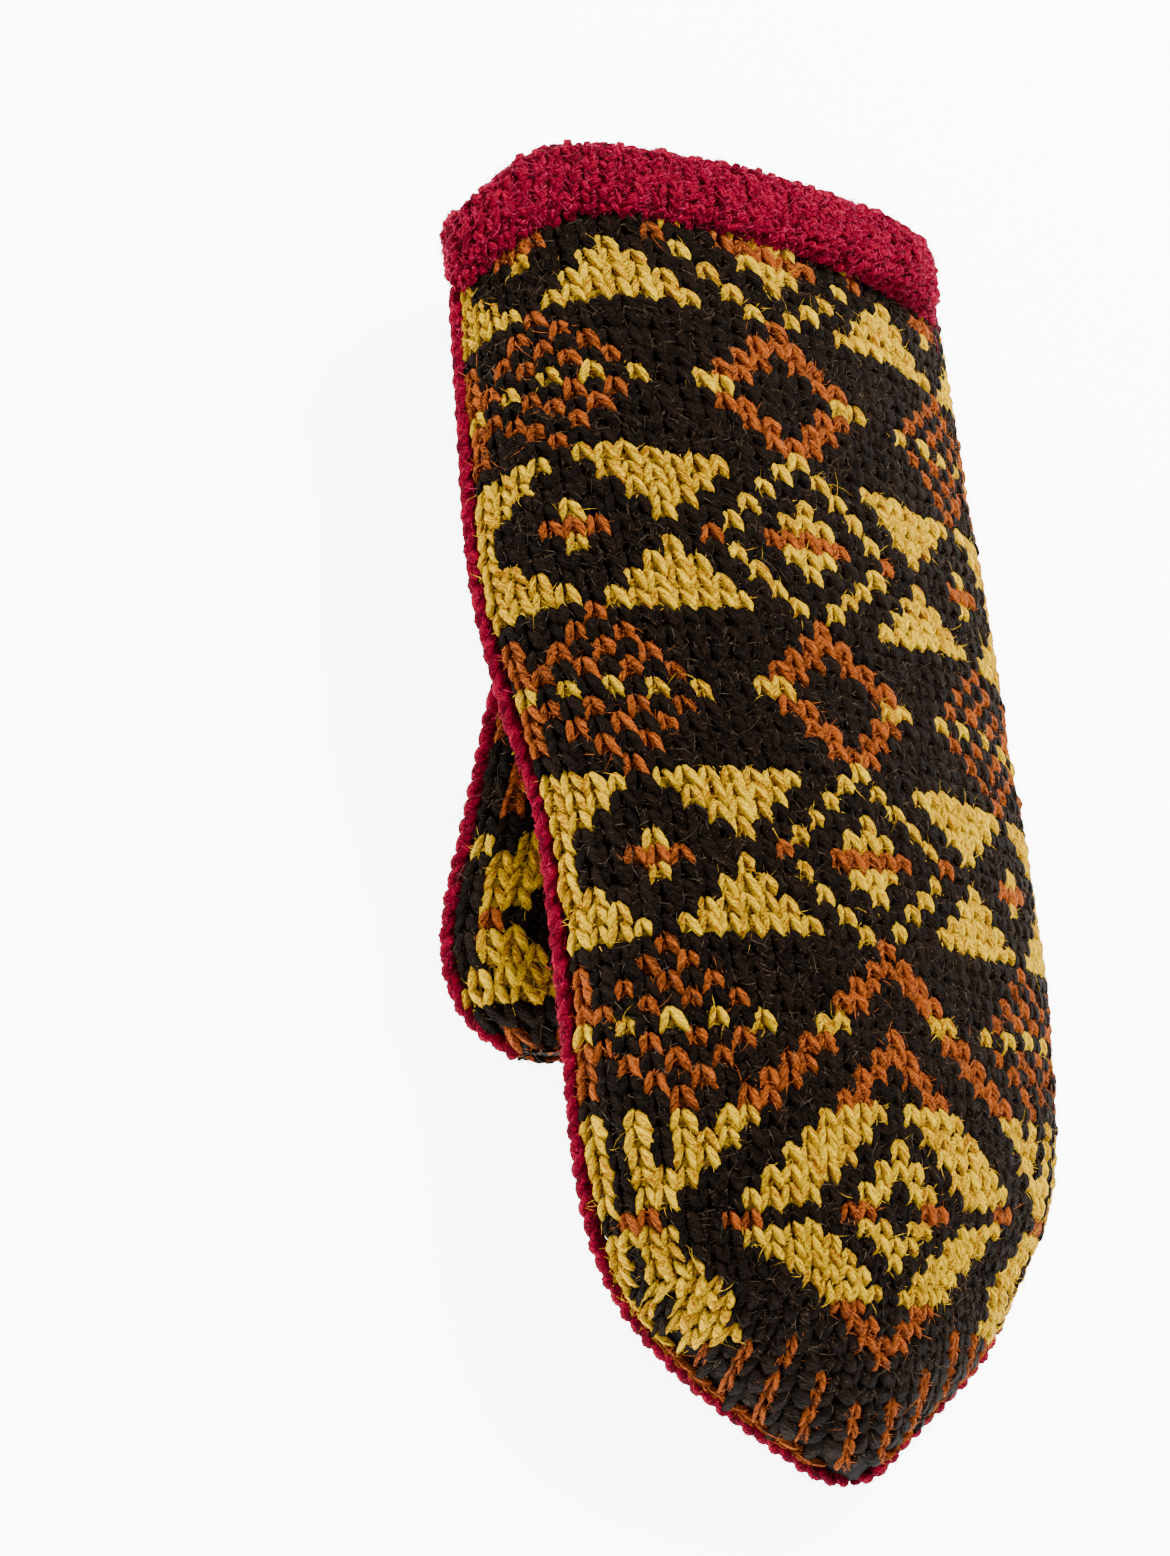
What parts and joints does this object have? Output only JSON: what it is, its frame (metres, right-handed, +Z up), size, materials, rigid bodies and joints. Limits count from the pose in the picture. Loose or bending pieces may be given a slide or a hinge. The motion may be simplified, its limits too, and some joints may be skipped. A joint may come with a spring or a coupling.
{
  "type": "knitted mitten",
  "caption": "Left-hand stranded-knit wool mitten with a rolled red cuff, red edge lines, a pointed tip and a thumb tucked under its side.",
  "frame": {"origin": "on the surface it lies on, under the middle of its box", "axes": "+Y from the fingertip to the cuff, +Z up out of the back of the hand, the thumb on the -X side"},
  "size_m": [0.107, 0.2097, 0.0451],
  "materials": {
    "colourwork_wool": "matte, fuzzy stranded knitting in brown-black, golden yellow and burnt orange wool",
    "red_wool": "matte, fuzzy knitted wool in crimson"
  },
  "bodies": {
    "root": {"hand_shell": "colourwork_wool", "thumb_shell": "colourwork_wool", "cuff_roll": "red_wool", "edge_line_thumb_side": "red_wool", "edge_line_finger_side": "red_wool", "thumb_line_outer": "red_wool", "thumb_line_inner": "red_wool"}
  },
  "joints": []
}
